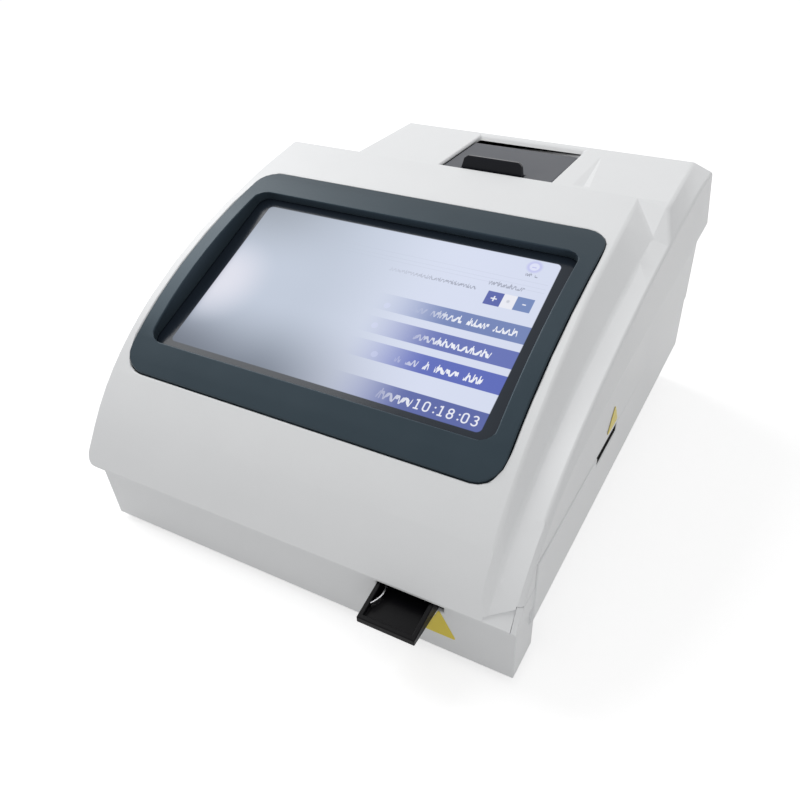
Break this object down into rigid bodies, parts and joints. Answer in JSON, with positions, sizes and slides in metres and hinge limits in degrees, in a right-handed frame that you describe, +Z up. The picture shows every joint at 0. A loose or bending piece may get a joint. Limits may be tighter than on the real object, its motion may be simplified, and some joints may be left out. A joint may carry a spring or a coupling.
{
  "type": "immunofluorescence analyzer",
  "caption": "Desktop fluorescence test reader: sloped touch screen, sliding cassette tray, receipt printer under a hinged lid, rear sockets and a rocker switch.",
  "frame": {"origin": "middle of the footprint, on the surface the feet rest on", "axes": "+X to the right as seen from the front, +Y from the front to the rear, +Z up"},
  "size_m": [0.2458, 0.2988, 0.1511],
  "materials": {
    "case_white": "fine satin moulding",
    "frame_slate": "satin slate blue",
    "screen_glass": "gloss",
    "black_plastic": "satin black",
    "door_grey": "satin dark grey",
    "circuit_board": "solder mask",
    "steel": "bright zinc plated",
    "rubber": "dull",
    "paper": "smooth",
    "nylon": "natural nylon"
  },
  "bodies": {
    "case": {"base_shell": "case_white", "board_screw_1": "steel", "board_screw_2": "steel", "board_screw_3": "steel", "board_screw_4": "steel", "card_reader": "black_plastic", "case_screw_1": "steel", "case_screw_2": "steel", "case_screw_3": "steel", "case_screw_4": "steel", "detector_board": "circuit_board", "door_pin": "steel", "foot_front_left": "rubber", "foot_front_right": "rubber", "foot_rear_left": "rubber", "foot_rear_right": "rubber", "lcd_bracket": "steel", "lcd_panel": "steel", "main_board": "circuit_board", "network_port": "steel", "objective_lens": "screen_glass", "optical_bracket": "steel", "optical_housing": "black_plastic", "power_board": "circuit_board", "power_inlet": "black_plastic", "print_head": "steel", "printer_frame": "black_plastic", "printer_motor": "steel", "screen_bezel": "frame_slate", "serial_port": "steel", "switch_frame": "black_plastic", "top_cover": "case_white", "touch_glass": "screen_glass", "tray_guide": "nylon", "tray_motor": "steel", "usb_port_1": "steel", "usb_port_2": "steel"},
    "tray": {"cassette_tray": "black_plastic", "tray_rack": "nylon", "cassette_clip": "steel"},
    "tray_drive": {"tray_pinion": "nylon"},
    "printer_lid": {"printer_door": "door_grey", "latch_pin": "steel"},
    "latch": {"latch_lever": "black_plastic"},
    "platen": {"platen_roller": "rubber", "platen_gear": "nylon"},
    "printer_drive": {"printer_pinion": "nylon"},
    "roll": {"paper_roll": "paper"},
    "rocker": {"power_rocker": "black_plastic"}
  },
  "joints": [
    {"name": "tray_slide", "type": "slide", "parent": "case", "child": "tray", "axis": [0, -1, 0], "range_m": [-0.06, 0.012]},
    {"name": "tray_drive_turn", "type": "hinge", "parent": "case", "child": "tray_drive", "pos_m": [0.04295, -0.04365, 0.032], "axis": [0, 0, 1], "range_deg": [-116, 574]},
    {"name": "lid_hinge", "type": "hinge", "parent": "case", "child": "printer_lid", "pos_m": [0.0123, 0.12485, 0.1395], "axis": [-1, 0, 0], "range_deg": [0, 95]},
    {"name": "latch_tilt", "type": "hinge", "parent": "printer_lid", "child": "latch", "pos_m": [0.0093, 0.08275, 0.142], "axis": [1, 0, 0], "range_deg": [0, 25], "stiffness_Nm_per_rad": 0.02},
    {"name": "platen_turn", "type": "hinge", "parent": "printer_lid", "child": "platen", "pos_m": [0.0123, 0.08715, 0.1332], "axis": [1, 0, 0], "continuous": true},
    {"name": "printer_drive_turn", "type": "hinge", "parent": "case", "child": "printer_drive", "pos_m": [0.0123, 0.08715, 0.1232], "axis": [1, 0, 0], "continuous": true},
    {"name": "roll_turn", "type": "hinge", "parent": "case", "child": "roll", "pos_m": [0.0103, 0.10955, 0.1185], "axis": [1, 0, 0], "continuous": true},
    {"name": "rocker_tilt", "type": "hinge", "parent": "case", "child": "rocker", "pos_m": [0.0538, 0.14435, 0.035], "axis": [-1, 0, 0], "range_deg": [0, 18]}
  ],
  "couplings": [
    {"joint": "tray_drive_turn", "follows": "tray_slide", "rad_per_m": -166.67},
    {"joint": "printer_drive_turn", "follows": "platen_turn", "ratio": -1.5}
  ]
}
